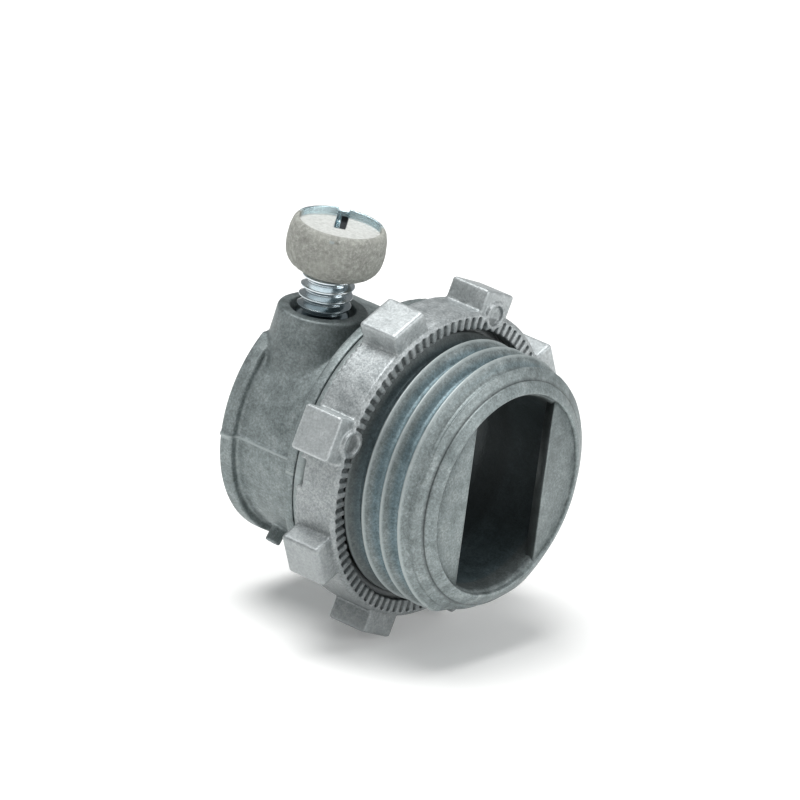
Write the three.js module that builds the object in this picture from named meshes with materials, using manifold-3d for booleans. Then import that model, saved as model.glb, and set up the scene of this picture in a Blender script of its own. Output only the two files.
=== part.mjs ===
// Set-screw connector for 3/8 in flexible conduit: a die-cast zinc body with a threaded nose for a
// 1/2 in trade size knockout, a lugged locknut on the nose and one slotted clamp screw.
// Millimetres, +X along the conduit towards the threaded nose, +Z up along the screw boss.
// The origin is on the conduit axis, in the plane of the shoulder that bears on the box wall.

import * as THREE from "three";
import { mergeVertices } from "three/addons/utils/BufferGeometryUtils.js";
import Module from "manifold-3d";

const wasm = await Module();
wasm.setup();

// Driving dimensions
const ROUND_STEPS = 60;
const EDGE = 0.2;
const OVERRUN = 1;
const OVERLAP = 0.1;
const BORE_R = 7.8;
const BLANK_BORE_R = 7.2;

const FLANGE_BACK = -9.05;
const FLANGE_THICK = 1.35;
const FLANGE_R = 10.05;
const BARREL_R = 9.4;
const FLANGE_FLAT_DISTANCE = 7.0;
const FLANGE_FLAT_TILT = THREE.MathUtils.degToRad(-5);

const SHOULDER_R = 11.6;
const SHOULDER_THICK = 0.9;

const NOSE_ROOT_R = 9.55;
const NOSE_CREST_R = 10.45;
const NOSE_PITCH = 25.4 / 14;
const NOSE_THREAD_START = 1.3;
const NOSE_THREAD_END = 12.4;
const NOSE_CREST_AT_NEAR_SIDE = 6.1;
const NOSE_STEPS_PER_TURN = 30;
const NOSE_THREAD_FORM = {
  rootR: NOSE_ROOT_R - 0.15,
  crestR: NOSE_CREST_R,
  rootHalf: 0.86,
  crestHalf: 0.1,
};
const COLLAR_R = 10.5;
const COLLAR_END = 0.45;

const RIM_FACE = 11.7;
const RIM_PROFILE = [
  [9.9, 10.6],
  [10.15, 10.42],
  [10.4, 10.18],
  [10.7, 9.76],
  [11.0, 9.28],
  [11.12, 9.03],
  [11.2, 9.02],
  [11.45, 8.67],
  [11.62, 8.42],
  [RIM_FACE, 8.25],
  [RIM_FACE, 8.15],
  [11.6, 8.08],
];
const RIM_FILL_R = 9.8;
const RIM_FILL_START = 9.8;
const GATE_FLAT = {
  along: 10.35,
  radius: 9.6,
  leanDeg: 33,
  angleDeg: 173,
  length: 5.6,
  width: 19,
  height: 2,
};
const RIM_FILL_DEPTH = 0.2;
const PLATE_FACE = 11.5;
const PLATE_THICK = 0.9;
const THROAT_HALF_WIDTH = 4.55;

const SCREW_X = -5.7;
const SCREW_Y = -3.6;
const SCREW_LEAN_DEG = 4.1;
const SCREW_LEAN_TOWARDS_DEG = 38.5;
const BOSS_TOP = 10.15;
const BOSS_FOOT = 3.2;
const BOSS_TOP_R = 3.5;
const BOSS_FOOT_R = 4.65;
const BOSS_BACK = -9.5;
const BOSS_MOUTH_R = 2.55;
const BOSS_MOUTH_DEPTH = 0.8;
const BOSS_HOLE_R = 2.22;
const BOSS_STEPS = 36;

const NUB_X = -5.9;
const NUB_ANGLE_DEG = 237;
const NUB_R = 0.62;
const NUB_TIP = 10.75;
const NUB_STEPS = 16;

const NUT_BACK = 0.15;
const NUT_LAND_THICK = 0.88;
const NUT_RING_BACK = 1.0;
const NUT_LAND_R = 11.6;
const NUT_FRONT = 4.9;
const NUT_BORE_R = 10.95;
const NUT_RING_R = 12.35;
const NUT_FACE_EDGE = { along: 0.3, radial: 0.35 };
const NUT_THREAD_FORM = { rootR: NUT_BORE_R + 0.12, crestR: 9.92, rootHalf: 0.78, crestHalf: 0.14 };
const NUT_THREAD_INSET = 0.85;
const LUG_COUNT = 8;
const LUG_FIRST_ANGLE = THREE.MathUtils.degToRad(24.7);
const LUG_TOP_R = 14.0;
const LUG_WIDTH = 3.6;
const LUG_LENGTH = 3.6;
const LUG_FRONT_INSET = 0.2;
const LUG_SINK = 0.7;
const SERRATION_COUNT = 90;
const SERRATION_DEPTH = 0.28;
const SERRATION_TOP_R = 11.95;
const SERRATION_BORE_OVERRUN = 0.4;
const PIP_R = 1.0;
const PIP_LUGS = [1, 7];
const PIP_BELOW_LUG_TOP = 1.9;
const PIP_PROUD = 0.15;
const PIP_STEPS = 16;
const NOTCH_ANGLE = THREE.MathUtils.degToRad(86);
const NOTCH_WIDTH = 2.2;
const NOTCH_LENGTH = 0.6;
const NOTCH_DEPTH = 0.5;

const SCREW_PITCH = 25.4 / 32;
const SCREW_CREST_R = 2.08;
const SCREW_ROOT_R = 1.62;
const SCREW_STEPS_PER_TURN = 20;
const SCREW_THREAD_FORM = {
  rootR: SCREW_ROOT_R - 0.1,
  crestR: SCREW_CREST_R,
  rootHalf: 0.36,
  crestHalf: 0.06,
};
const TAP_THREAD_FORM = {
  rootR: BOSS_HOLE_R + 0.1,
  crestR: SCREW_CREST_R - 0.28,
  rootHalf: 0.3,
  crestHalf: 0.05,
};
const TAP_FOOT = 7.1;
const TAP_TOP = 9;
const SCREW_THREAD_INSET = 0.38;
const SCREW_NECK = 0.2;
const HEAD_BOTTOM = 13.1;
const HEAD_TOP = 17.2;
const HEAD_MAX_R = 3.85;
const HEAD_PROFILE = [
  [HEAD_BOTTOM, SCREW_ROOT_R],
  [HEAD_BOTTOM, 2.3],
  [13.4, 3.1],
  [14.0, 3.7],
  [15.0, HEAD_MAX_R],
  [16.0, 3.77],
  [17.05, 3.5],
  [HEAD_TOP, 3.3],
  [HEAD_TOP, 0],
];
const HEAD_STEPS = 32;
const SLOT_WIDTH = 0.85;
const SLOT_DEPTH = 1.2;
const SLOT_DIRECTION_DEG = 126.5;
const SLOT_FRONT_REACH = 0.4;
const SLOT_RIM_DEPTH = 0.3;
const SLOT_REACH = 3.45;
const TIP_BOTTOM = 6.75;
const TIP_TOP = 7.95;
const TIP_R = 1.5;
const TIP_EDGE = 0.3;
const TIP_STEPS = 24;
const PIECE_GAP = 0.02;

// How much of a helical ridge's height stands at its very ends, and how fast it rises per turn
const RUN_OUT_END = 0.12;
const RUN_OUT_RISE = 4;

// Closed three.js geometry to and from a solid that can be joined and cut
function toSolid(geometry) {
  const bare = geometry.index ? geometry.clone() : geometry;
  bare.deleteAttribute("normal");
  bare.deleteAttribute("uv");
  const merged = mergeVertices(bare, 1e-5);
  const mesh = new wasm.Mesh({
    numProp: 3,
    vertProperties: new Float32Array(merged.attributes.position.array),
    triVerts: new Uint32Array(merged.index.array),
  });
  return new wasm.Manifold(mesh);
}

function toGeometry(solid) {
  const mesh = solid.getMesh();
  const geometry = new THREE.BufferGeometry();
  geometry.setAttribute("position", new THREE.BufferAttribute(mesh.vertProperties, 3));
  geometry.setIndex(new THREE.BufferAttribute(mesh.triVerts, 1));
  geometry.computeVertexNormals();
  return geometry;
}

// A profile of [distance along the axis, radius] pairs turned about X
function turnedAboutX(profile, steps = ROUND_STEPS) {
  const points = profile.map(([along, radius]) => new THREE.Vector2(radius, along));
  const geometry = new THREE.LatheGeometry(points, steps);
  geometry.rotateZ(-Math.PI / 2);
  return toSolid(geometry);
}

// The same about Z, standing on the point (x, y)
function turnedAboutZ(profile, x, y, steps) {
  const points = profile.map(([along, radius]) => new THREE.Vector2(radius, along));
  const geometry = new THREE.LatheGeometry(points, steps);
  geometry.rotateX(Math.PI / 2);
  geometry.translate(x, y, 0);
  return toSolid(geometry);
}

function box(sizeX, sizeY, sizeZ, x, y, z, turnAboutX = 0) {
  const geometry = new THREE.BoxGeometry(sizeX, sizeY, sizeZ);
  geometry.translate(x, y, z);
  geometry.rotateX(turnAboutX);
  return toSolid(geometry);
}

function rodAlongX(radius, from, to, steps, y = 0, z = 0) {
  const geometry = new THREE.CylinderGeometry(radius, radius, to - from, steps);
  geometry.rotateZ(-Math.PI / 2);
  geometry.translate((from + to) / 2, y, z);
  return toSolid(geometry);
}

// A right-hand helical ridge about X: a straight bar whose length is bent into turns.
// The crest passes phaseAlong at phaseAngle; the ridge sinks into its root over the first and last
// quarter turn.
function helicalRidge(form, { pitch, from, to, phaseAlong, phaseAngle, stepsPerTurn }) {
  const { rootR, crestR, rootHalf, crestHalf } = form;
  const startAngle = phaseAngle + ((from - phaseAlong) / pitch) * 2 * Math.PI;
  const turns = (to - from) / pitch;
  const steps = Math.round(turns * stepsPerTurn);
  const section = new THREE.Shape([
    new THREE.Vector2(-rootHalf, rootR),
    new THREE.Vector2(rootHalf, rootR),
    new THREE.Vector2(crestHalf, crestR),
    new THREE.Vector2(-crestHalf, crestR),
  ]);
  const geometry = new THREE.ExtrudeGeometry(section, { depth: 1, steps, bevelEnabled: false });
  const position = geometry.attributes.position;
  for (let i = 0; i < position.count; i += 1) {
    const share = position.getZ(i);
    const turned = share * turns;
    const turnsToAnEnd = Math.min(turned, turns - turned);
    const runOut = Math.min(1, RUN_OUT_END + RUN_OUT_RISE * turnsToAnEnd);
    const radius = rootR + (position.getY(i) - rootR) * runOut;
    const angle = startAngle + turned * 2 * Math.PI;
    const along = from + turned * pitch + position.getX(i);
    position.setXYZ(i, along, radius * Math.cos(angle), radius * Math.sin(angle));
  }
  return toSolid(geometry);
}

// The casting
function makeBody() {
  const flangeFront = FLANGE_BACK + FLANGE_THICK;
  const turned = turnedAboutX([
    [FLANGE_BACK, BLANK_BORE_R],
    [FLANGE_BACK, FLANGE_R - EDGE],
    [FLANGE_BACK + EDGE, FLANGE_R],
    [flangeFront - EDGE, FLANGE_R],
    [flangeFront, FLANGE_R - EDGE],
    [flangeFront, BARREL_R],
    [-SHOULDER_THICK, BARREL_R],
    [-SHOULDER_THICK, SHOULDER_R - EDGE],
    [-SHOULDER_THICK + EDGE, SHOULDER_R],
    [0, SHOULDER_R],
    [0, COLLAR_R],
    [COLLAR_END, COLLAR_R],
    [COLLAR_END, NOSE_ROOT_R],
    [RIM_FACE + OVERRUN, NOSE_ROOT_R],
    [RIM_FACE + OVERRUN, BLANK_BORE_R],
    [FLANGE_BACK, BLANK_BORE_R],
  ]);
  const thread = helicalRidge(NOSE_THREAD_FORM, {
    pitch: NOSE_PITCH,
    from: NOSE_THREAD_START,
    to: NOSE_THREAD_END,
    phaseAlong: NOSE_CREST_AT_NEAR_SIDE,
    phaseAngle: Math.PI,
    stepsPerTurn: NOSE_STEPS_PER_TURN,
  });
  // The last half turn of the thread's valley, under the parting line, is only a shallow one
  const underNoseRoot = NOSE_ROOT_R - RIM_FILL_DEPTH;
  const cutter = 4 * NOSE_ROOT_R;
  const shallow = turnedAboutX([
    [RIM_FILL_START, underNoseRoot],
    [RIM_FILL_START + OVERLAP, RIM_FILL_R],
    [PLATE_FACE, RIM_FILL_R],
    [PLATE_FACE, underNoseRoot],
    [RIM_FILL_START, underNoseRoot],
  ]).subtract(box(cutter, cutter, cutter, 0, 0, cutter / 2));
  const rimEnvelope = turnedAboutX([
    [FLANGE_BACK - OVERRUN, 0],
    [FLANGE_BACK - OVERRUN, SHOULDER_R + OVERRUN],
    [RIM_PROFILE[0][0], SHOULDER_R + OVERRUN],
    ...RIM_PROFILE,
    [PLATE_FACE, RIM_PROFILE.at(-1)[1]],
    [PLATE_FACE, 0],
  ]);
  const { length: gateLength, width: gateWidth, height: gateHeight } = GATE_FLAT;
  const gateFlat = box(gateLength, gateWidth, gateHeight, 0, 0, gateHeight / 2)
    .rotate([0, GATE_FLAT.leanDeg, 0])
    .translate([GATE_FLAT.along, 0, GATE_FLAT.radius])
    .rotate([GATE_FLAT.angleDeg, 0, 0]);
  const flangeTop = box(FLANGE_THICK + 4 * OVERLAP, 4 * FLANGE_R, FLANGE_R,
    FLANGE_BACK + FLANGE_THICK / 2, 0, FLANGE_FLAT_DISTANCE + FLANGE_R / 2, FLANGE_FLAT_TILT);
  const barrelCore = rodAlongX(BARREL_R, FLANGE_BACK, flangeFront + OVERLAP, ROUND_STEPS);
  const boss = turnedAboutZ([
    [BOSS_FOOT, 0],
    [BOSS_FOOT, BOSS_FOOT_R],
    [BOSS_TOP - EDGE, BOSS_TOP_R],
    [BOSS_TOP, BOSS_TOP_R - EDGE],
    [BOSS_TOP, 0],
  ], SCREW_X, SCREW_Y, BOSS_STEPS)
    .subtract(box(BOSS_TOP, 4 * BOSS_FOOT_R, 4 * BOSS_TOP, BOSS_BACK - BOSS_TOP / 2, SCREW_Y, 0));
  const nub = rodAlongX(NUB_R, BARREL_R - OVERRUN, NUB_TIP, NUB_STEPS)
    .rotate([0, -90, 0])
    .rotate([NUB_ANGLE_DEG - 90, 0, 0])
    .translate([NUB_X, 0, 0]);
  const plateBack = PLATE_FACE - PLATE_THICK;
  const bore = rodAlongX(BORE_R, FLANGE_BACK - OVERRUN, plateBack, ROUND_STEPS);
  const throatSlab = box(4 * PLATE_THICK, 2 * THROAT_HALF_WIDTH, 4 * BORE_R, PLATE_FACE, 0, 0);
  const throat = rodAlongX(BORE_R, plateBack - OVERRUN, RIM_FACE + OVERRUN, ROUND_STEPS)
    .intersect(throatSlab);
  const plates = rodAlongX(BORE_R + EDGE, plateBack, PLATE_FACE, ROUND_STEPS).subtract(throatSlab);
  const mouthFloor = BOSS_TOP - BOSS_MOUTH_DEPTH;
  const screwHole = leaning(turnedAboutZ([
    [0, 0],
    [0, BOSS_HOLE_R],
    [mouthFloor, BOSS_HOLE_R],
    [mouthFloor, BOSS_MOUTH_R],
    [BOSS_TOP + OVERRUN, BOSS_MOUTH_R],
    [BOSS_TOP + OVERRUN, 0],
  ], SCREW_X, SCREW_Y, SCREW_STEPS_PER_TURN));
  const tap = aroundScrewAxis(helicalRidge(TAP_THREAD_FORM, {
    pitch: SCREW_PITCH,
    from: TAP_FOOT,
    to: TAP_TOP,
    phaseAlong: HEAD_BOTTOM + SCREW_PITCH / 2,
    phaseAngle: 0,
    stepsPerTurn: SCREW_STEPS_PER_TURN,
  }));
  return turned
    .add(thread)
    .add(shallow)
    .intersect(rimEnvelope)
    .subtract(gateFlat)
    .subtract(flangeTop)
    .add(barrelCore)
    .add(boss)
    .add(nub)
    .subtract(bore)
    .subtract(throat)
    .add(plates)
    .subtract(screwHole)
    .add(leaning(tap));
}

function aroundScrewAxis(solidAboutX) {
  return solidAboutX.rotate([0, -90, 0]).translate([SCREW_X, SCREW_Y, 0]);
}

// Leans the screw and its hole from the boss's axis, about the middle of the boss's mouth
function leaning(upright) {
  return upright
    .translate([-SCREW_X, -SCREW_Y, -BOSS_TOP])
    .rotate([0, 0, -SCREW_LEAN_TOWARDS_DEG])
    .rotate([0, SCREW_LEAN_DEG, 0])
    .rotate([0, 0, SCREW_LEAN_TOWARDS_DEG])
    .translate([SCREW_X, SCREW_Y, BOSS_TOP]);
}

// The locknut, without the plain land ring let into its back
function makeLocknut() {
  const landSeat = NUT_BACK + NUT_LAND_THICK + PIECE_GAP;
  const ring = turnedAboutX([
    [landSeat, NUT_BORE_R],
    [landSeat, NUT_LAND_R + PIECE_GAP],
    [NUT_RING_BACK, NUT_LAND_R + PIECE_GAP],
    [NUT_RING_BACK, NUT_RING_R],
    [NUT_FRONT - NUT_FACE_EDGE.along, NUT_RING_R],
    [NUT_FRONT, NUT_RING_R - NUT_FACE_EDGE.radial],
    [NUT_FRONT, NUT_BORE_R],
    [landSeat, NUT_BORE_R],
  ]);
  const ridge = helicalRidge(NUT_THREAD_FORM, {
    pitch: NOSE_PITCH,
    from: landSeat + NUT_THREAD_INSET,
    to: NUT_FRONT - NUT_THREAD_INSET,
    phaseAlong: NOSE_CREST_AT_NEAR_SIDE + NOSE_PITCH / 2,
    phaseAngle: Math.PI,
    stepsPerTurn: NOSE_STEPS_PER_TURN,
  });
  let nut = ring.add(ridge);
  const lugHeight = LUG_TOP_R - NUT_RING_R + LUG_SINK;
  const lugMiddle = NUT_FRONT - LUG_FRONT_INSET - LUG_LENGTH / 2;
  for (let i = 0; i < LUG_COUNT; i += 1) {
    const angle = LUG_FIRST_ANGLE + (i * 2 * Math.PI) / LUG_COUNT;
    nut = nut.add(box(LUG_LENGTH, LUG_WIDTH, lugHeight, lugMiddle, 0, LUG_TOP_R - lugHeight / 2,
      angle));
  }
  const grooves = [];
  for (let i = 0; i < SERRATION_COUNT; i += 1) {
    const angle = (i * 2 * Math.PI) / SERRATION_COUNT;
    const length = SERRATION_TOP_R - NUT_BORE_R + SERRATION_BORE_OVERRUN;
    const width = (Math.PI * NUT_BORE_R) / SERRATION_COUNT;
    grooves.push(box(2 * SERRATION_DEPTH, width, length, NUT_FRONT, 0,
      SERRATION_TOP_R - length / 2, angle));
  }
  for (const lug of PIP_LUGS) {
    const angle = LUG_FIRST_ANGLE + (lug * 2 * Math.PI) / LUG_COUNT;
    const pipR = LUG_TOP_R - PIP_BELOW_LUG_TOP;
    const pipTop = NUT_FRONT - LUG_FRONT_INSET + PIP_PROUD;
    nut = nut.add(rodAlongX(PIP_R, NUT_FRONT - OVERRUN, pipTop, PIP_STEPS,
      -pipR * Math.sin(angle), pipR * Math.cos(angle)));
  }
  const notch = box(2 * NOTCH_LENGTH, NOTCH_WIDTH, 2 * NOTCH_DEPTH, NUT_RING_BACK, 0, NUT_RING_R,
    NOTCH_ANGLE);
  return nut.subtract(wasm.Manifold.union(grooves)).subtract(notch);
}

function makeNutLand() {
  return turnedAboutX([
    [NUT_BACK, NUT_BORE_R + EDGE],
    [NUT_BACK, NUT_LAND_R],
    [NUT_BACK + NUT_LAND_THICK, NUT_LAND_R],
    [NUT_BACK + NUT_LAND_THICK, NUT_BORE_R],
    [NUT_BACK, NUT_BORE_R + EDGE],
  ]);
}

// A cut in the head's top, from just short of its middle out to a reach
function slotCut(reach, depth) {
  const length = reach + SLOT_FRONT_REACH;
  return box(length, SLOT_WIDTH, 2 * depth, length / 2 - SLOT_FRONT_REACH, 0, 0)
    .rotate([0, 0, SLOT_DIRECTION_DEG])
    .translate([SCREW_X, SCREW_Y, HEAD_TOP]);
}

// The clamp screw, without its plain point
function makeClampScrew() {
  const threadFrom = TIP_TOP + PIECE_GAP;
  const shankAndHead = turnedAboutZ([
    [threadFrom, 0],
    [threadFrom, SCREW_ROOT_R],
    ...HEAD_PROFILE,
  ], SCREW_X, SCREW_Y, HEAD_STEPS);
  const thread = aroundScrewAxis(helicalRidge(SCREW_THREAD_FORM, {
    pitch: SCREW_PITCH,
    from: threadFrom + SCREW_THREAD_INSET,
    to: HEAD_BOTTOM - SCREW_NECK,
    phaseAlong: HEAD_BOTTOM,
    phaseAngle: 0,
    stepsPerTurn: SCREW_STEPS_PER_TURN,
  }));
  const slot = slotCut(SLOT_REACH, SLOT_DEPTH).add(slotCut(HEAD_MAX_R + OVERRUN, SLOT_RIM_DEPTH));
  return leaning(shankAndHead.add(thread).subtract(slot));
}

function makeScrewTip() {
  return leaning(turnedAboutZ([
    [TIP_BOTTOM, 0],
    [TIP_BOTTOM, TIP_R - TIP_EDGE],
    [TIP_BOTTOM + TIP_EDGE, TIP_R],
    [TIP_TOP, TIP_R],
    [TIP_TOP, 0],
  ], SCREW_X, SCREW_Y, TIP_STEPS));
}

function metal(color, roughness, metalness) {
  return new THREE.MeshStandardMaterial({ color, roughness, metalness });
}

const zinc = metal(0x8f989c, 0.55, 0.75);
const nutZinc = metal(0xb4bbbd, 0.5, 0.75);
const platedSteel = metal(0xb9bec2, 0.28, 0.95);

const fitting = new THREE.Group();

function addPiece(name, solid, material) {
  const mesh = new THREE.Mesh(toGeometry(solid), material);
  mesh.name = name;
  fitting.add(mesh);
}

addPiece("connector_body", makeBody(), zinc);
addPiece("locknut", makeLocknut(), nutZinc);
addPiece("locknut_land", makeNutLand(), nutZinc);
addPiece("clamp_screw", makeClampScrew(), platedSteel);
addPiece("clamp_screw_tip", makeScrewTip(), platedSteel);

export default fitting;
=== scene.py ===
"""Looks for the set-screw conduit connector: casting, locknut and clamp screw, on a pale floor."""
import math

import bmesh
import bpy
from mathutils import Matrix, Vector, noise


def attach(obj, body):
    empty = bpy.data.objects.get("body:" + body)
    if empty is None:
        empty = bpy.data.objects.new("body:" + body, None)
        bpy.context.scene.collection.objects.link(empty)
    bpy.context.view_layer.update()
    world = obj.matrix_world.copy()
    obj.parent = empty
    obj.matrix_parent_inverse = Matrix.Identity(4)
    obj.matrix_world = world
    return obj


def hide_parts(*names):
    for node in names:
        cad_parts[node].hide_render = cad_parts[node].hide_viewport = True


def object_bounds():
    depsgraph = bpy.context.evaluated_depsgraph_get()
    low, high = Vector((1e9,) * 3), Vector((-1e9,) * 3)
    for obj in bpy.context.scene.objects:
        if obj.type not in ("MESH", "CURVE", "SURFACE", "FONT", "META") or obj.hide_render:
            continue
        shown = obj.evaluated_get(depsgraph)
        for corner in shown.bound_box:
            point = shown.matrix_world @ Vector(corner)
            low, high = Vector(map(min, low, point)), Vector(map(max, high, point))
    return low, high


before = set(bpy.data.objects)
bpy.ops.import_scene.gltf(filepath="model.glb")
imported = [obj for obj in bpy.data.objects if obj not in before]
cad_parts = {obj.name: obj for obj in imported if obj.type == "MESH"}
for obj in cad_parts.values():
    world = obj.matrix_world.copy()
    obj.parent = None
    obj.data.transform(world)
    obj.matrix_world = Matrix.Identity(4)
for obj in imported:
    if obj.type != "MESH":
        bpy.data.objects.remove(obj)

cad_low, cad_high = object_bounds()

MM = 0.001
TURN = 2 * math.pi

# Casting, in millimetres: +X towards the nose, +Z up along the screw boss
BORE_R = 7.8
FLANGE_BACK = -9.05
FLANGE_FRONT = -7.7
FLANGE_R = 10.05
BARREL_R = 9.4
FLANGE_FLAT = 7.0
FLANGE_FLAT_TILT = math.radians(-5)
SHOULDER_R = 11.6
SHOULDER_THICK = 0.9
NOSE_ROOT_R = 9.55
NOSE_CREST_R = 10.45
NOSE_PITCH = 25.4 / 14
NOSE_THREAD_START = 1.3
NOSE_CREST_NEAR = 6.1
NOSE_CREST_ROUND = 0.1
NOSE_FLANK_HALF = 0.8
# (along, radius) of the rounded end of the nose, from the thread to the groove
RIM_SHAPE = ((9.5, 11.0), (9.9, 10.6), (10.15, 10.42), (10.4, 10.18), (10.7, 9.76), (11.0, 9.28),
             (11.06, 9.14))
# from the groove over the bead and down into the bore
BEAD_SHAPE = ((11.09, 9.05), (11.12, 9.0), (11.16, 8.99), (11.2, 9.02), (11.32, 8.9), (11.45, 8.7),
              (11.56, 8.53), (11.64, 8.4), (11.68, 8.3), (11.698, 8.22), (11.69, 8.14), (11.64, 8.09),
              (11.56, 8.06), (11.45, 8.05), (11.35, 7.97), (11.25, 7.86), (11.1, 7.8))
RIM_FILL_R = 9.82
PLATE_FACE = 11.5
PLATE_THICK = 0.9
PLATE_R = 8.2
THROAT_HALF = 4.55
SEAM_X = 0.4
SEAM_OVERLAP = 0.1
BLANK_BORE_R = BORE_R - 0.6
CAST_EDGE = 0.1
FLANGE_BACK_EDGE = 0.2
# the raised parting line
LINE_LENGTH = 7.2
LINE_MIDDLE = -4.2
LINE_WIDTH = 0.24
BARREL_LINE_DEPTH = 0.42
FLANGE_LINE_DEPTH = 0.4
# ranges along the nose over which its shapes come in or go out
VALLEY_FILLS_ALONG = (9.4, 9.9)
LINE_RISES_ALONG = (8.5, 9.2)
GATE_STARTS_ALONG = (9.0, 9.8)
GATE_ENDS_ALONG = (10.5, 11.05)
# and around it, in degrees from +Z towards -Y
VALLEY_FILLS_AROUND = (60, 86)
VALLEY_OPENS_AROUND = (266, 274)
GATE_STARTS_AROUND = (148, 164)
GATE_ENDS_AROUND = (183, 212)
GATE_DEPTH = 0.62
LINE_AROUND = 89
LINE_HALF_AROUND = 1.1
LINE_HEIGHT = 0.07
# above 1, the flanks of the thread are hollow
CREST_HOLLOW = 1.2
# screw boss and nub
SCREW_X, SCREW_Y = -5.7, -3.6
SCREW_LEAN = math.radians(4.1)
SCREW_LEAN_TOWARDS = math.radians(38.5)
BOSS_TOP = 10.15
BOSS_FOOT = 3.2
BOSS_TOP_R = 3.5
BOSS_EDGE = 0.15
BOSS_FOOT_R = 4.65
BOSS_BACK = -9.49
BOSS_MOUTH_R = 2.55
BOSS_MOUTH_DEPTH = 0.8
BOSS_MOUTH_STRAIGHT = 0.3
BOSS_HOLE_R = 2.22
NUB_X = -5.9
NUB_ANGLE = math.radians(237)
NUB_R = 0.62
NUB_TIP = 10.75
NUB_SUNK = 0.9

# Locknut
NUT_BACK = 0.15
NUT_LAND_THICK = 0.88
NUT_LAND_R = 11.6
NUT_RING_BACK = 1.0
NUT_FRONT = 4.9
NUT_BORE_R = 10.95
NUT_RING_R = 12.35
NUT_CHAMFER_ALONG = 0.3
NUT_CHAMFER_IN = 0.35
NUT_LAND_GAP = 0.02
NUT_LAND_CLEAR = 0.05
NUT_LAND_EDGE = 0.05
NUT_LEAD_IN = 0.2
NUT_RIDGE_R = 9.92
LUG_COUNT = 8
LUG_FIRST = math.radians(24.7)
LUG_TOP_R = 14.0
LUG_WIDTH = 3.6
LUG_LENGTH = 3.6
LUG_INSET = 0.2
LUG_SUNK = 0.9
LUG_BEVEL = 0.22
SERRATIONS = 90
SERRATION_DEPTH = 0.26
SERRATION_TOP_R = 11.95
# (lug number, distance from the conduit axis) of each ringed pip
PIPS = ((1, 11.75), (7, 12.2))
PIP_R = 1.1
PIP_RING = 0.32
PIP_HEIGHT = 0.06
PIP_DEPTH = 0.18
NOTCH_ANGLE = math.radians(86)
NOTCH_SIZE = (1.2, 2.2, 1.4)
BURR_COUNT = 34
BURR_FIRST = 35
BURR_SPREAD = 100
BURR_SIZE = (0.4, 0.26, 0.36)
RIDGE_SUNK = 0.12
RIDGE_START_IN = 0.87
RIDGE_END_IN = 0.85
# (across, above the crest of the ridge) of its blunt tip
RIDGE_TIP = ((0.2, 0.06), (0.1, 0), (-0.1, 0), (-0.2, 0.06))
RIDGE_FOOT_HALF = 0.78

# Clamp screw
SCREW_PITCH = 25.4 / 32
SCREW_CREST_R = 2.08
SCREW_ROOT_R = 1.62
SCREW_CREST_FLAT = 0.14
SCREW_FLANK_END = 0.95
SCREW_FLANK_HOLLOW = 1.1
SCREW_RUN_IN = 0.5
SCREW_GAP = 0.02
SCREW_SUNK = 0.1
HEAD_BOTTOM = 13.1
HEAD_TOP = 17.19
HEAD_MAX_R = 3.85
# (above the bottom, radius) and (below the top, radius) of the head's rounded side
HEAD_LOWER = ((0, 2.35), (0.15, 2.8), (0.4, 3.2), (0.75, 3.52), (1.2, 3.74), (1.8, 3.83),
              (2.3, HEAD_MAX_R))
HEAD_UPPER = ((0.9, 3.78), (0.35, 3.64), (0.08, 3.48), (0, 3.38))
DISH_R = 3.2
DISH_DEPTH = 0.85
DISH_TAPER = 0.08
FILL_OVERLAP = 0.03
FILL_BELOW_RIM = 0.02
FILL_ABOVE_DISH = 0.1
FILL_BOTTOM = 1.0
LUMP_SIZE = 0.45
LUMP_DEPTH = 0.16
LUMPS_FADE = (0.4, 1.9)
SLOT_WIDTH = 0.85
SLOT_DEPTH = 1.2
SLOT_DIRECTION = math.radians(126.5)
SLOT_FRONT_REACH = 0.4
SLOT_REACH = 3.45
SLOT_RIM_DEPTH = 0.3
TIP_BOTTOM = 6.75
TIP_TOP = 7.95
TIP_R = 1.5
# (above the bottom, in from the radius) of the rounded point
TIP_SHAPE = ((0, 0.35), (0.1, 0.15), (0.3, 0))

# Shaping: how far cutters pass what they cut, and how finely things are made
OVERRUN = 1
FLAT_OVERRUN = 0.2
ON_AXIS = 0.01
CLIP_THICK = 4
CLIP_WIDTH = 20
ROUND_STEPS = 192
SMALL_STEPS = 96
HEAD_STEPS = 128
ROD_STEPS = 48
BARREL_VOXEL = 0.13
NUT_VOXEL = 0.095
HEAD_VOXEL = 0.07
EASE_ROUNDS = 2

LEAN = (Matrix.Translation((SCREW_X, SCREW_Y, BOSS_TOP))
        @ Matrix.Rotation(SCREW_LEAN_TOWARDS, 4, "Z")
        @ Matrix.Rotation(SCREW_LEAN, 4, "Y")
        @ Matrix.Rotation(-SCREW_LEAN_TOWARDS, 4, "Z")
        @ Matrix.Translation((-SCREW_X, -SCREW_Y, -BOSS_TOP)))


# ---------------------------------------------------------------- mesh helpers, in millimetres

def new_object(name, mesh):
    obj = bpy.data.objects.new(name, mesh)
    bpy.context.scene.collection.objects.link(obj)
    return obj


def drop(obj):
    mesh = obj.data
    bpy.data.objects.remove(obj)
    bpy.data.meshes.remove(mesh)


def from_rings(name, rings, loop_rings=True, caps=False):
    """A mesh through rings of points of equal length. loop_rings joins the last ring to the first."""
    count = len(rings[0])
    verts = [point for ring in rings for point in ring]
    faces = []
    spans = len(rings) if loop_rings else len(rings) - 1
    for i in range(spans):
        a, b = i * count, ((i + 1) % len(rings)) * count
        for j in range(count):
            k = (j + 1) % count
            faces.append((a + j, a + k, b + k, b + j))
    if caps:
        faces.append(tuple(reversed(range(count))))
        last = (len(rings) - 1) * count
        faces.append(tuple(range(last, last + count)))
    mesh = bpy.data.meshes.new(name)
    mesh.from_pydata(verts, [], faces)
    obj = new_object(name, mesh)
    face_outwards(obj)
    return obj


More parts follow.
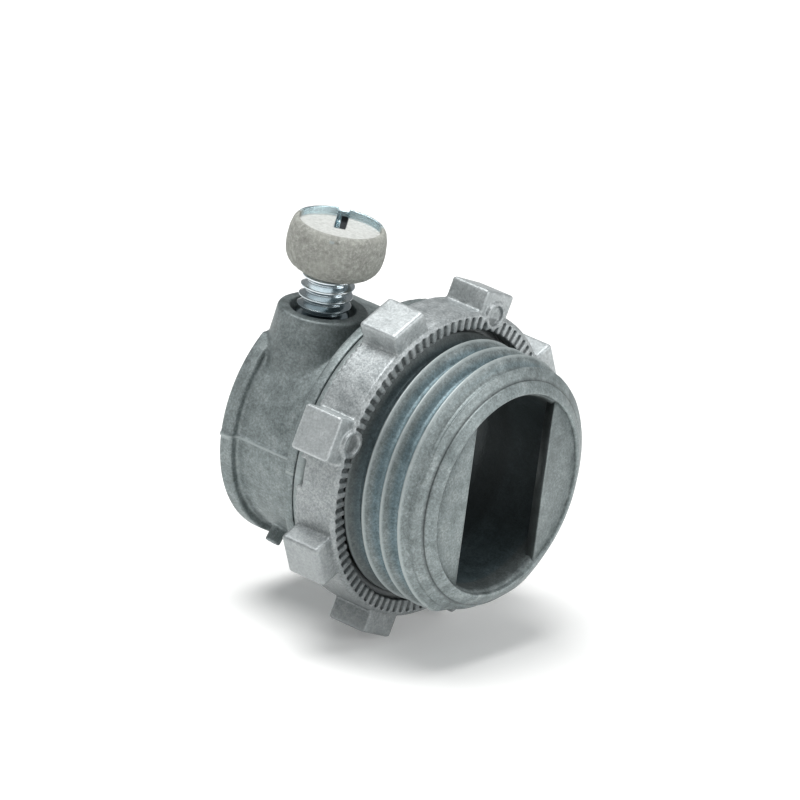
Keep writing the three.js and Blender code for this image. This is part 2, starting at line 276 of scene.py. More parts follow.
def face_outwards(obj):
    work = bmesh.new()
    work.from_mesh(obj.data)
    bmesh.ops.recalc_face_normals(work, faces=work.faces)
    if work.calc_volume(signed=True) < 0:
        bmesh.ops.reverse_faces(work, faces=work.faces)
    work.to_mesh(obj.data)
    work.free()


def turned_about_x(name, profile, steps=ROUND_STEPS):
    """A closed profile of (along, radius) pairs turned about the conduit axis."""
    rings = []
    for i in range(steps):
        c, s = math.cos(TURN * i / steps), math.sin(TURN * i / steps)
        rings.append([(along, radius * c, radius * s) for along, radius in profile])
    return from_rings(name, rings)


def turned_about_boss(name, profile, steps=SMALL_STEPS):
    """The same about the boss's upright axis, from (height, radius) pairs."""
    rings = []
    for i in range(steps):
        c, s = math.cos(TURN * i / steps), math.sin(TURN * i / steps)
        rings.append([(SCREW_X + radius * c, SCREW_Y + radius * s, height)
                      for height, radius in profile])
    return from_rings(name, rings)


def block(name, size, centre, turn=None, bevel=0):
    mesh = bpy.data.meshes.new(name)
    work = bmesh.new()
    bmesh.ops.create_cube(work, size=1)
    for vert in work.verts:
        vert.co = Vector(tuple(vert.co[i] * size[i] for i in range(3)))
    if bevel:
        bmesh.ops.bevel(work, geom=work.edges[:], offset=bevel, segments=3, profile=0.5,
                        affect="EDGES")
    for vert in work.verts:
        vert.co += Vector(centre)
        if turn is not None:
            vert.co = turn @ vert.co
    work.to_mesh(mesh)
    work.free()
    return new_object(name, mesh)


def rod(name, radius, start, end, steps=ROD_STEPS):
    """A round bar between two points."""
    start, end = Vector(start), Vector(end)
    axis = (end - start).normalized()
    side = axis.orthogonal().normalized()
    other = axis.cross(side)
    rings = []
    for centre in (start, end):
        rings.append([tuple(centre + radius * (math.cos(TURN * j / steps) * side
                                               + math.sin(TURN * j / steps) * other))
                      for j in range(steps)])
    return from_rings(name, rings, loop_rings=False, caps=True)


def apply_modifiers(obj):
    graph = bpy.context.evaluated_depsgraph_get()
    shaped = bpy.data.meshes.new_from_object(obj.evaluated_get(graph))
    obj.modifiers.clear()
    old = obj.data
    obj.data = shaped
    bpy.data.meshes.remove(old)
    return obj


def boolean(obj, tools, operation):
    for tool in tools:
        step = obj.modifiers.new("join", "BOOLEAN")
        step.operation = operation
        step.solver = "MANIFOLD"
        step.object = tool
        apply_modifiers(obj)
        drop(tool)
    return obj


def soften(obj, voxel, rounds, factor=0.5):
    """Remeshes a joined solid evenly and eases its edges, as a casting's are."""
    remesh = obj.modifiers.new("even", "REMESH")
    remesh.mode = "VOXEL"
    remesh.voxel_size = voxel
    smooth = obj.modifiers.new("ease", "SMOOTH")
    smooth.factor = factor
    smooth.iterations = rounds
    return apply_modifiers(obj)


def join(target, others):
    """Adds other meshes to a mesh as loose parts."""
    work = bmesh.new()
    work.from_mesh(target.data)
    for other in others:
        work.from_mesh(other.data)
        drop(other)
    work.to_mesh(target.data)
    work.free()
    return target


def around_x(angle):
    return Matrix.Rotation(angle, 3, "X")


def smooth_step(low, high, value):
    t = min(1, max(0, (value - low) / (high - low)))
    return t * t * (3 - 2 * t)


def between(pairs, value):
    """Straight-line reading of a table of (place, height) pairs."""
    if value <= pairs[0][0]:
        return pairs[0][1]
    for (a, low), (b, high) in zip(pairs, pairs[1:]):
        if value <= b:
            return low + (high - low) * (value - a) / (b - a)
    return pairs[-1][1]


# ---------------------------------------------------------------- casting

def make_barrel():
    """Barrel, end flange, shoulder, screw boss, nub and the raised parting line."""
    shell = turned_about_x("casting_barrel", [
        (FLANGE_BACK, BLANK_BORE_R), (FLANGE_BACK, FLANGE_R - FLANGE_BACK_EDGE),
        (FLANGE_BACK + FLANGE_BACK_EDGE, FLANGE_R), (FLANGE_FRONT - CAST_EDGE, FLANGE_R),
        (FLANGE_FRONT, FLANGE_R - CAST_EDGE), (FLANGE_FRONT, BARREL_R),
        (-SHOULDER_THICK, BARREL_R), (-SHOULDER_THICK, SHOULDER_R - CAST_EDGE),
        (-SHOULDER_THICK + CAST_EDGE, SHOULDER_R), (0, SHOULDER_R), (0, NOSE_CREST_R),
        (SEAM_X, NOSE_CREST_R), (SEAM_X, BLANK_BORE_R),
    ])
    flange_thick = FLANGE_FRONT - FLANGE_BACK
    flange_middle = (FLANGE_BACK + FLANGE_FRONT) / 2
    flat = block("flat", (flange_thick + 2 * FLAT_OVERRUN, 4 * FLANGE_R, FLANGE_R),
                 (flange_middle, 0, FLANGE_FLAT + FLANGE_R / 2), around_x(FLANGE_FLAT_TILT))
    boolean(shell, [flat], "DIFFERENCE")
    # the barrel's own wall is left standing where the flat would cut into it
    inset = 0.01
    inner_bore = BORE_R - 0.4
    inner = turned_about_x("inner", [
        (FLANGE_BACK + inset, inner_bore), (FLANGE_BACK + inset, BARREL_R),
        (FLANGE_FRONT + FLAT_OVERRUN, BARREL_R - 2 * inset), (FLANGE_FRONT + FLAT_OVERRUN, inner_bore),
    ])
    boss = turned_about_boss("boss", [
        (BOSS_FOOT, ON_AXIS), (BOSS_FOOT, BOSS_FOOT_R), (BOSS_TOP - BOSS_EDGE, BOSS_TOP_R),
        (BOSS_TOP, BOSS_TOP_R - BOSS_EDGE), (BOSS_TOP, ON_AXIS),
    ])
    behind = block("behind", (CLIP_THICK, CLIP_WIDTH, CLIP_WIDTH), (BOSS_BACK - CLIP_THICK / 2, 0, 0))
    boolean(boss, [behind], "DIFFERENCE")
    direction = Vector((0, math.cos(NUB_ANGLE), math.sin(NUB_ANGLE)))
    nub_place = Vector((NUB_X, 0, 0))
    nub = rod("nub", NUB_R, direction * (BARREL_R - NUB_SUNK) + nub_place,
              direction * NUB_TIP + nub_place)
    barrel_line = block("line", (LINE_LENGTH, BARREL_LINE_DEPTH, LINE_WIDTH),
                        (LINE_MIDDLE, -BARREL_R, 0))
    flange_line = block("line", (flange_thick - 2 * CAST_EDGE, FLANGE_LINE_DEPTH, LINE_WIDTH),
                        (flange_middle, -FLANGE_R, 0))
    boolean(shell, [inner, boss, nub, barrel_line, flange_line], "UNION")
    bore = rod("bore", BORE_R, (FLANGE_BACK - OVERRUN, 0, 0), (SEAM_X + OVERRUN, 0, 0), ROUND_STEPS)
    hole = turned_about_boss("hole", [
        (0, ON_AXIS), (0, BOSS_HOLE_R), (BOSS_TOP - BOSS_MOUTH_DEPTH, BOSS_HOLE_R),
        (BOSS_TOP - BOSS_MOUTH_STRAIGHT, BOSS_MOUTH_R), (BOSS_TOP + OVERRUN, BOSS_MOUTH_R),
        (BOSS_TOP + OVERRUN, ON_AXIS),
    ])
    hole.data.transform(LEAN)
    boolean(shell, [bore, hole], "DIFFERENCE")
    return soften(shell, BARREL_VOXEL, EASE_ROUNDS)


def nose_radius(along, around):
    """Radius of the threaded nose; around is in degrees from +Z towards -Y."""
    phase = (along - NOSE_CREST_NEAR) / NOSE_PITCH - (around - 90) / 360
    offset = abs(phase - round(phase)) * NOSE_PITCH
    offset = math.hypot(offset, NOSE_CREST_ROUND) - NOSE_CREST_ROUND
    share = min(1, offset / (NOSE_FLANK_HALF - NOSE_CREST_ROUND))
    run_in = smooth_step(NOSE_THREAD_START - 0.3, NOSE_THREAD_START + 0.5, along)
    height = (NOSE_CREST_R - NOSE_ROOT_R) * (1 - share) ** CREST_HOLLOW * run_in
    # below the parting line the last half turn of the valley is only a shallow one
    below = smooth_step(*VALLEY_FILLS_AROUND, around)
    below *= 1 - smooth_step(*VALLEY_OPENS_AROUND, around)
    root = NOSE_ROOT_R + (RIM_FILL_R - NOSE_ROOT_R) * below * smooth_step(*VALLEY_FILLS_ALONG, along)
    line = LINE_HEIGHT * max(0, 1 - abs(around - LINE_AROUND) / LINE_HALF_AROUND)
    line *= smooth_step(*LINE_RISES_ALONG, along)
    radius = min(max(root, NOSE_ROOT_R + height) + line, between(RIM_SHAPE, along))
    gate = smooth_step(*GATE_STARTS_AROUND, around) * (1 - smooth_step(*GATE_ENDS_AROUND, around))
    gate *= smooth_step(*GATE_STARTS_ALONG, along) * (1 - smooth_step(*GATE_ENDS_ALONG, along))
    return radius - GATE_DEPTH * gate


def make_nose():
    """Threaded nose with its rounded rim and the two chord plates of the throat."""
    steps = 420
    rows = 220
    first, last = SEAM_X - SEAM_OVERLAP, RIM_SHAPE[-1][0]
    threaded = [first + (last - first) * i / rows for i in range(rows + 1)]
    inside = [(along, BORE_R) for along in (9.5, 6.0, 3.0, first)]
    rings = []
    for i in range(steps):
        around = 360 * i / steps
        c, s = math.cos(math.radians(around)), math.sin(math.radians(around))
        outline = [(along, nose_radius(along, around)) for along in threaded]
        outline += list(BEAD_SHAPE) + inside
        rings.append([(along, -radius * s, radius * c) for along, radius in outline])
    nose = from_rings("casting_nose", rings)
    return join(nose, [make_plate(side) for side in (-1, 1)])


def make_plate(side):
    """One chord plate: a circle segment with its straight edge eased."""
    half = math.acos(THROAT_HALF / PLATE_R)
    steps = SMALL_STEPS
    back = PLATE_FACE - PLATE_THICK
    ease, crown = 0.07, 0.02
    outline = []
    for i in range(steps + 1):
        angle = -half + 2 * half * i / steps
        outline.append((PLATE_R * math.cos(angle), PLATE_R * math.sin(angle)))
    layers = [(back, ease), (back + ease, 0), (PLATE_FACE - ease, 0), (PLATE_FACE - crown, ease * 0.4),
              (PLATE_FACE, ease)]
    rings = []
    for along, inset in layers:
        rings.append([(along, side * max(y, THROAT_HALF + inset), z) for y, z in outline])
    return from_rings("plate", rings, loop_rings=False, caps=True)


# ---------------------------------------------------------------- locknut

def make_locknut():
    """Ring, lugs, pips, front serrations, back burrs and notch."""
    seat = NUT_BACK + NUT_LAND_THICK + NUT_LAND_GAP
    seat_r = NUT_LAND_R + NUT_LAND_CLEAR
    nut = turned_about_x("locknut_ring", [
        (seat, NUT_BORE_R), (seat, seat_r), (NUT_RING_BACK, seat_r), (NUT_RING_BACK, NUT_RING_R),
        (NUT_FRONT - NUT_CHAMFER_ALONG, NUT_RING_R), (NUT_FRONT, NUT_RING_R - NUT_CHAMFER_IN),
        (NUT_FRONT, NUT_BORE_R),
    ])
    lug_height = LUG_TOP_R - NUT_RING_R + LUG_SUNK
    middle = NUT_FRONT - LUG_INSET - LUG_LENGTH / 2
    lugs = []
    for i in range(LUG_COUNT):
        lugs.append(block("lug", (LUG_LENGTH, LUG_WIDTH, lug_height),
                          (middle, 0, LUG_TOP_R - lug_height / 2),
                          around_x(LUG_FIRST + TURN * i / LUG_COUNT), LUG_BEVEL))
    boolean(nut, [join(lugs[0], lugs[1:])], "UNION")
    grooves = []
    length = SERRATION_TOP_R - NUT_BORE_R + 0.4
    width = math.pi * NUT_BORE_R / SERRATIONS
    for i in range(SERRATIONS):
        grooves.append(block("groove", (2 * SERRATION_DEPTH, width, length),
                             (NUT_FRONT, 0, SERRATION_TOP_R - length / 2),
                             around_x(TURN * i / SERRATIONS)))
    for i in range(BURR_COUNT):
        turn = around_x(math.radians(BURR_FIRST + BURR_SPREAD * i / BURR_COUNT))
        grooves.append(block("burr", BURR_SIZE, (NUT_RING_BACK, 0, NUT_RING_R), turn))
    notch = block("notch", NOTCH_SIZE, (NUT_RING_BACK, 0, NUT_RING_R), around_x(NOTCH_ANGLE))
    boolean(nut, [join(grooves[0], grooves[1:]), notch], "DIFFERENCE")
    for lug, out in PIPS:
        turn = around_x(LUG_FIRST + TURN * lug / LUG_COUNT)
        foot = turn @ Vector((NUT_FRONT - OVERRUN, 0, out))
        crown = turn @ Vector((NUT_FRONT + PIP_HEIGHT, 0, out))
        hollow = turn @ Vector((NUT_FRONT - PIP_DEPTH, 0, out))
        above = turn @ Vector((NUT_FRONT + OVERRUN, 0, out))
        boolean(nut, [rod("pip", PIP_R, foot, crown)], "UNION")
        boolean(nut, [rod("hollow", PIP_R - PIP_RING, hollow, above)], "DIFFERENCE")
    return soften(nut, NUT_VOXEL, EASE_ROUNDS)


def make_nut_thread():
    """The nut's internal ridge, a bent bar sunk in the bore wall."""
    start, end = NUT_BACK + NUT_LAND_THICK + RIDGE_START_IN, NUT_FRONT - RIDGE_END_IN
    turns = (end - start) / NOSE_PITCH
    steps = int(turns * SMALL_STEPS)
    phase_along = NOSE_CREST_NEAR + NOSE_PITCH / 2
    first = math.pi + (start - phase_along) / NOSE_PITCH * TURN
    root = NUT_BORE_R + RIDGE_SUNK
    section = [(-RIDGE_FOOT_HALF, root), (RIDGE_FOOT_HALF, root)]
    section += [(across, NUT_RIDGE_R + rise) for across, rise in RIDGE_TIP]
    rings = []
    for i in range(steps + 1):
        turned = turns * i / steps
        run_out = min(1, 0.12 + 4 * turned, 0.12 + 4 * (turns - turned))
        angle = first + turned * TURN
        c, s = math.cos(angle), math.sin(angle)
        ring = []
        for across, radius in section:
            eased = root + (radius - root) * run_out
            ring.append((start + turned * NOSE_PITCH + across, eased * c, eased * s))
        rings.append(ring)
    return from_rings("nut_ridge", rings, loop_rings=False, caps=True)


def make_land():
    front = NUT_BACK + NUT_LAND_THICK
    return turned_about_x("locknut_back_land", [
        (NUT_BACK, NUT_BORE_R + NUT_LEAD_IN), (NUT_BACK, NUT_LAND_R - NUT_LAND_EDGE),
        (NUT_BACK + NUT_LAND_EDGE, NUT_LAND_R), (front, NUT_LAND_R), (front, NUT_BORE_R),
        (NUT_BACK + NUT_LEAD_IN, NUT_BORE_R),
    ])


# ---------------------------------------------------------------- clamp screw

def make_screw_thread():
    """Threaded shank, from the plain point up into the head."""
    steps = SMALL_STEPS
    start, end = TIP_TOP + SCREW_GAP, HEAD_BOTTOM + SCREW_SUNK
    rows = 240
    rings = []
    for i in range(rows + 1):
        height = start + (end - start) * i / rows
        ring = []
        for j in range(steps):
            angle = TURN * j / steps
            phase = (height - HEAD_BOTTOM) / SCREW_PITCH - (angle - TURN / 4) / TURN
            offset = abs(phase - round(phase)) * 2
            share = max(0, (offset - SCREW_CREST_FLAT) / (1 - SCREW_CREST_FLAT))
            ridge = (1 - min(1, share / SCREW_FLANK_END)) ** SCREW_FLANK_HOLLOW
            ridge *= smooth_step(start, start + SCREW_RUN_IN, height)
            radius = SCREW_ROOT_R + (SCREW_CREST_R - SCREW_ROOT_R) * ridge
            ring.append((SCREW_X + radius * math.cos(angle), SCREW_Y + radius * math.sin(angle),
                         height))
        rings.append(ring)
    return from_rings("clamp_screw_thread", rings, loop_rings=False, caps=True)


def make_screw_head():
    """Thick cheese head: a shallow dish with a tilted fill, and a slot from its middle to its rim."""
    profile = [(HEAD_BOTTOM, ON_AXIS)]
    profile += [(HEAD_BOTTOM + above, radius) for above, radius in HEAD_LOWER]
    profile += [(HEAD_TOP - below, radius) for below, radius in HEAD_UPPER]
    profile += [(HEAD_TOP, DISH_R), (HEAD_TOP - DISH_DEPTH, DISH_R - DISH_TAPER),
                (HEAD_TOP - DISH_DEPTH, ON_AXIS)]
    head = turned_about_boss("clamp_screw_head", profile, HEAD_STEPS)
    steps = SMALL_STEPS
    fill_r = DISH_R + FILL_OVERLAP
    rings = []
    for top in (False, True):
        ring = []
        for j in range(steps):
            angle = TURN * j / steps
            x, y = fill_r * math.cos(angle), fill_r * math.sin(angle)
            rear = 0.5 + 0.5 * math.cos(angle - SLOT_DIRECTION)
            tilted = HEAD_TOP - FILL_BELOW_RIM - (DISH_DEPTH - FILL_ABOVE_DISH) * rear
            height = tilted if top else HEAD_TOP - FILL_BOTTOM
            ring.append((SCREW_X + x, SCREW_Y + y, height))
        rings.append(ring)
    fill = from_rings("fill", rings, loop_rings=False, caps=True)
    boolean(head, [fill], "UNION")
    for reach, depth in ((SLOT_REACH, SLOT_DEPTH), (HEAD_MAX_R + OVERRUN, SLOT_RIM_DEPTH)):
        length = reach + SLOT_FRONT_REACH
        slot = block("slot", (length, SLOT_WIDTH, 2 * depth), (length / 2 - SLOT_FRONT_REACH, 0, 0))
        slot.data.transform(Matrix.Translation((SCREW_X, SCREW_Y, HEAD_TOP))
                            @ Matrix.Rotation(SLOT_DIRECTION, 4, "Z"))
        boolean(head, [slot], "DIFFERENCE")
    soften(head, HEAD_VOXEL, EASE_ROUNDS)
    # the coating is lumpy round the lower edge
    outwards = [vert.normal.copy() for vert in head.data.vertices]
    for vert, outward in zip(head.data.vertices, outwards):
        low = 1 - smooth_step(*LUMPS_FADE, vert.co.z - HEAD_BOTTOM)
        lump = max(0, noise.noise(vert.co / LUMP_SIZE))
        vert.co -= outward * LUMP_DEPTH * lump * low
    return head


def make_tip():
    point = [(TIP_BOTTOM + above, TIP_R - inwards) for above, inwards in TIP_SHAPE]
    return turned_about_boss("clamp_screw_point", [(TIP_BOTTOM, ON_AXIS), *point, (TIP_TOP, TIP_R),
                                                   (TIP_TOP, ON_AXIS)])


# ---------------------------------------------------------------- materials

# dark, middle and light tones of each mottled surface
CASTING_TONES = ((0.115, 0.137, 0.138), (0.195, 0.228, 0.230), (0.30, 0.335, 0.335))
CASTING_ROUGHNESS = 0.5
NUT_TONES = ((0.22, 0.245, 0.25), (0.32, 0.345, 0.35), (0.45, 0.475, 0.48))
NUT_ROUGHNESS = 0.42
PLATING_TONES = ((0.50, 0.57, 0.61), (0.74, 0.80, 0.83), (0.90, 0.93, 0.94))
HEAD_TONES = ((0.15, 0.15, 0.135), (0.28, 0.285, 0.26), (0.47, 0.48, 0.44))
# whitish tones of the painted reflection in the dish
DISH_REFLECTION_TONES = ((0.36, 0.37, 0.35), (0.50, 0.51, 0.49), (0.63, 0.64, 0.62))
FLOOR_TONES = ((0.86, 0.86, 0.85), (0.9, 0.9, 0.89))
GRAIN_SHADES = (0.62, 1, 1.5)
# bluish painted shade in the thread valleys
VALLEY_SHADE_TINT = (0.72, 0.90, 1.0)
# painted shade on the screw thread near the boss
THREAD_SHADE = (0.10, 0.15, 0.17)
HEAD_CLOUD = (0.40, 0.41, 0.37)
# painted shade in the slot
SLOT_SHADE = (0.012, 0.014, 0.016)
BRIGHT_PLATING = (0.56, 0.69, 0.73)

class Nodes:
    """Short forms for building a node material."""

    def __init__(self, name):
        self.material = bpy.data.materials.new(name)
        self.material.use_nodes = True
        self.tree = self.material.node_tree
        self.tree.nodes.clear()
        self.out = self.tree.nodes.new("ShaderNodeOutputMaterial")
        self.shader = self.tree.nodes.new("ShaderNodeBsdfPrincipled")
        self.link(self.shader.outputs[0], self.out.inputs[0])
        self.place = self.tree.nodes.new("ShaderNodeTexCoord").outputs["Object"]

    def link(self, source, target):
        self.tree.links.new(source, target)

    def noise(self, scale, detail=4, rough=0.6, stretch=None):
        node = self.tree.nodes.new("ShaderNodeTexNoise")
        node.inputs["Scale"].default_value = scale
        node.inputs["Detail"].default_value = detail
        node.inputs["Roughness"].default_value = rough
        source = self.place
        if stretch is not None:
            mapping = self.tree.nodes.new("ShaderNodeMapping")
            mapping.inputs["Scale"].default_value = stretch
            self.link(self.place, mapping.inputs["Vector"])
            source = mapping.outputs[0]
        self.link(source, node.inputs["Vector"])
        return node.outputs["Fac"]

    def ramp(self, value, places, tones):
        node = self.tree.nodes.new("ShaderNodeValToRGB")
        elements = node.color_ramp.elements
        while len(elements) < len(tones):
            elements.new(0.5)
        for element, place, colour in zip(elements, places, tones):
            element.position = place
            element.color = (*colour, 1)
        self.link(value, node.inputs[0])
        return node.outputs["Color"]

    def span(self, value, low, high, to_low=0.0, to_high=1.0):
        node = self.tree.nodes.new("ShaderNodeMapRange")
        for key, number in (("From Min", low), ("From Max", high), ("To Min", to_low),
                            ("To Max", to_high)):
            node.inputs[key].default_value = number
        self.link(value, node.inputs["Value"])
        return node.outputs[0]

    def span_mm(self, value, low, high, to_low=0.0, to_high=1.0):
        """The same between two places in millimetres."""
        return self.span(value, low * MM, high * MM, to_low, to_high)

    def both(self, a, b):
        """Where two masks overlap, or one mask at part strength."""
        return self.maths("MULTIPLY", a, b)

    def maths(self, operation, a, b=None):
        node = self.tree.nodes.new("ShaderNodeMath")
        node.operation = operation
        for socket, value in zip(node.inputs, (a, b)):
            if value is None:
                continue
            if isinstance(value, (int, float)):
                socket.default_value = value
            else:
                self.link(value, socket)
        return node.outputs[0]

    def blend(self, factor, a, b, mode="MIX"):
        node = self.tree.nodes.new("ShaderNodeMix")
        node.data_type = "RGBA"
        node.blend_type = mode
        for socket, value in ((node.inputs[0], factor), (node.inputs[6], a), (node.inputs[7], b)):
            if isinstance(value, (int, float)):
                socket.default_value = value
            elif isinstance(value, tuple):
                socket.default_value = (*value, 1)
            else:
                self.link(value, socket)
        return node.outputs[2]

    def bump(self, height, distance, strength=1.0, under=None):
        node = self.tree.nodes.new("ShaderNodeBump")
        node.inputs["Strength"].default_value = strength
        node.inputs["Distance"].default_value = distance * MM
        self.link(height, node.inputs["Height"])
        if under is not None:
            self.link(under, node.inputs["Normal"])
        return node.outputs[0]

    def pointiness(self, low, high):
        node = self.tree.nodes.new("ShaderNodeNewGeometry")
        return self.span(node.outputs["Pointiness"], low, high)

    def axes(self):
        """The place on the piece along X, Y and Z, in metres."""
        split = self.tree.nodes.new("ShaderNodeSeparateXYZ")
        self.link(self.place, split.inputs[0])
        return split.outputs[0], split.outputs[1], split.outputs[2]

    def reach(self, a, b):
        """Length of the two sides a and b together."""
        squares = self.maths("MULTIPLY", a, a), self.maths("MULTIPLY", b, b)
        return self.maths("SQRT", self.maths("ADD", *squares))


def cast_zinc(name, dark, base, light, rough, worn, soiled=0.65):
    """Die-cast zinc: mottled grey skin with a fine grain, pale edges (wear and a painted highlight),
    painted shade in the hollows.
    """
    n = Nodes(name)
    mottle = n.noise(900, 6, 0.65)
    cloud = n.noise(180, 3, 0.5)
    grain = n.noise(5200, 4, 0.75)
    colour = n.ramp(mottle, (0.3, 0.52, 0.74), (dark, base, light))
    colour = n.blend(n.span(cloud, 0.35, 0.7, 0.0, 0.3), colour, light)
    speck = n.ramp(grain, (0.3, 0.5, 0.72), [(shade, shade, shade) for shade in GRAIN_SHADES])
    colour = n.blend(1.0, colour, speck, "MULTIPLY")
    # pale edges: partly wear, partly a painted highlight on the rounded edges
    edges = n.pointiness(0.53, 0.62)
    # painted shade: darker in the hollows and creases
    painted_crease_shade = n.pointiness(0.48, 0.42)
    pale = tuple(min(1, 1.3 * c) for c in light)
    # the dark tone used for painted shade
    shade_tone = tuple(0.3 * c for c in dark)
    colour = n.blend(n.both(edges, worn), colour, pale)
    colour = n.blend(n.both(painted_crease_shade, soiled), colour, shade_tone)
    n.link(colour, n.shader.inputs["Base Color"])
    n.shader.inputs["Metallic"].default_value = 0.55
    n.link(n.span(mottle, 0.3, 0.7, rough - 0.08, rough + 0.1), n.shader.inputs["Roughness"])
    skin = n.bump(grain, 0.03, 0.7)
    n.link(n.bump(mottle, 0.05, 0.5, skin), n.shader.inputs["Normal"])
    return n, colour, pale, shade_tone


def barrel_zinc(name, *tones, **wear_and_shading):
    """Casting skin with the parting line picked out, painted shade on the boss and in the bore, and a
    painted highlight where the boss meets the barrel.
    """
    n, colour, pale, shade_tone = cast_zinc(name, *tones, **wear_and_shading)
    x, y, z = n.axes()
    away = n.reach(y, z)
    # the parting line
    line = n.both(n.span_mm(n.maths("ABSOLUTE", z), 0.13, 0.07),
                  n.span_mm(y, 0.3 - BARREL_R, 0.1 - BARREL_R))
    colour = n.blend(n.both(line, 0.6), colour, pale)
    # painted shade: the boss, a little darker than the barrel
    boss_shade = n.both(n.span_mm(z, 5.2, 6.0), n.span_mm(x, -1.6, -1.9))
    boss_shade = n.both(boss_shade, n.span_mm(away, BARREL_R + 0.15, BARREL_R + 0.3))
    colour = n.blend(n.both(boss_shade, 0.2), colour, shade_tone)
    # painted highlight in the hollow where the boss meets the barrel
    near_barrel = n.both(n.span_mm(away, BARREL_R + 0.3, BARREL_R + 0.2),
                         n.span_mm(away, BARREL_R + 0.01, BARREL_R + 0.04))
    foot = n.both(n.pointiness(0.485, 0.45), near_barrel)
    colour = n.blend(n.both(foot, 0.5), colour, pale)
    # painted shade in the bore
    inside = n.span_mm(away, BORE_R + 0.12, BORE_R - 0.02)
    colour = n.blend(n.both(inside, 0.8), colour, shade_tone)
    n.link(colour, n.shader.inputs["Base Color"])
    return n.material


def nose_zinc(name, *tones, **wear_and_shading):
    """Casting skin with painted highlights on the thread crests, and painted shade in the valleys, on
    the neck, in the groove and in the bore behind the plates.
    """
    n, colour, pale, shade_tone = cast_zinc(name, *tones, **wear_and_shading)
    x, y, z = n.axes()
    away = n.reach(y, z)
    # painted highlight on the thread crests
    crest_highlight = n.both(n.span_mm(away, NOSE_CREST_R - 0.21, NOSE_CREST_R - 0.05), n.span_mm(x, 10.4, 10.1))
    colour = n.blend(n.both(crest_highlight, 0.8), colour, pale)
    # painted shade, bluish, in the thread valleys
    valley_shade = n.both(n.span_mm(away, NOSE_ROOT_R + 0.55, NOSE_ROOT_R + 0.2), n.span_mm(x, 10.0, 9.6))
    colour = n.blend(n.both(valley_shade, 0.8), colour, VALLEY_SHADE_TINT, "MULTIPLY")
    # painted shade on the neck, inside the locknut
    neck_shade = n.span_mm(x, NUT_FRONT + 0.7, NUT_FRONT)
    colour = n.blend(n.both(neck_shade, 0.5), colour, shade_tone)
    # painted shade in the groove between rim and bead
    groove = n.both(n.span_mm(x, 11.0, 11.1), n.span_mm(x, 11.24, 11.18))
    groove = n.both(groove, n.span_mm(away, 8.9, 8.95))
    colour = n.blend(n.both(groove, 0.6), colour, shade_tone)
    # painted shade in the bore behind the plates, darker towards the top
    inside = n.both(n.span_mm(away, BORE_R + 0.2, BORE_R + 0.04),
                    n.span_mm(x, PLATE_FACE - 0.04, PLATE_FACE - 0.14))
    depth = n.span_mm(z, -BORE_R, -5.0, 0.3, 0.8)
    colour = n.blend(n.both(inside, depth), colour, shade_tone)
    n.link(colour, n.shader.inputs["Base Color"])
    return n.material


def nut_zinc(name, *tones, **wear_and_shading):
    """Paler zinc, paler again on the lug tops (wear and a painted highlight), with painted shade
    between the serrations and towards the bottom.
    """
    n, colour, pale, shade_tone = cast_zinc(name, *tones, **wear_and_shading)
    x, y, z = n.axes()
    away = n.reach(y, z)
    # paler lug tops: partly wear, partly a painted highlight
    colour = n.blend(n.span_mm(away, 12.6, 13.9, 0, 0.3), colour, pale)
    # painted shade, darker towards the bottom
    soil = n.span_mm(z, 4, -9, 0, 0.38)
    colour = n.blend(soil, colour, shade_tone)
    # painted shade in the valleys of the serrations
    serration_shade = n.both(n.span_mm(x, NUT_FRONT - 0.08, NUT_FRONT - 0.2),
                  n.span_mm(away, SERRATION_TOP_R + 0.05, SERRATION_TOP_R - 0.05))
    colour = n.blend(n.both(serration_shade, 0.65), colour, shade_tone)
    n.link(colour, n.shader.inputs["Base Color"])
    return n.material


def plated_steel(name):
    """Bright bluish zinc plating, lightly streaked."""
    n = Nodes(name)
    streaks = n.noise(700, 3, 0.5, (1, 1, 4))
    colour = n.ramp(streaks, (0.3, 0.55, 0.8), PLATING_TONES)
    z = n.axes()[2]
    # painted shade on the thread, darker down towards the boss
    oiled = n.span_mm(z, 12.2, 10.2, 0, 0.7)
    colour = n.blend(oiled, colour, THREAD_SHADE)
    n.link(colour, n.shader.inputs["Base Color"])
    n.shader.inputs["Metallic"].default_value = 1.0
    n.link(n.span(streaks, 0.3, 0.7, 0.12, 0.24), n.shader.inputs["Roughness"])
    n.link(n.bump(n.noise(1800, 2), 0.006, 0.25), n.shader.inputs["Normal"])
    return n.material


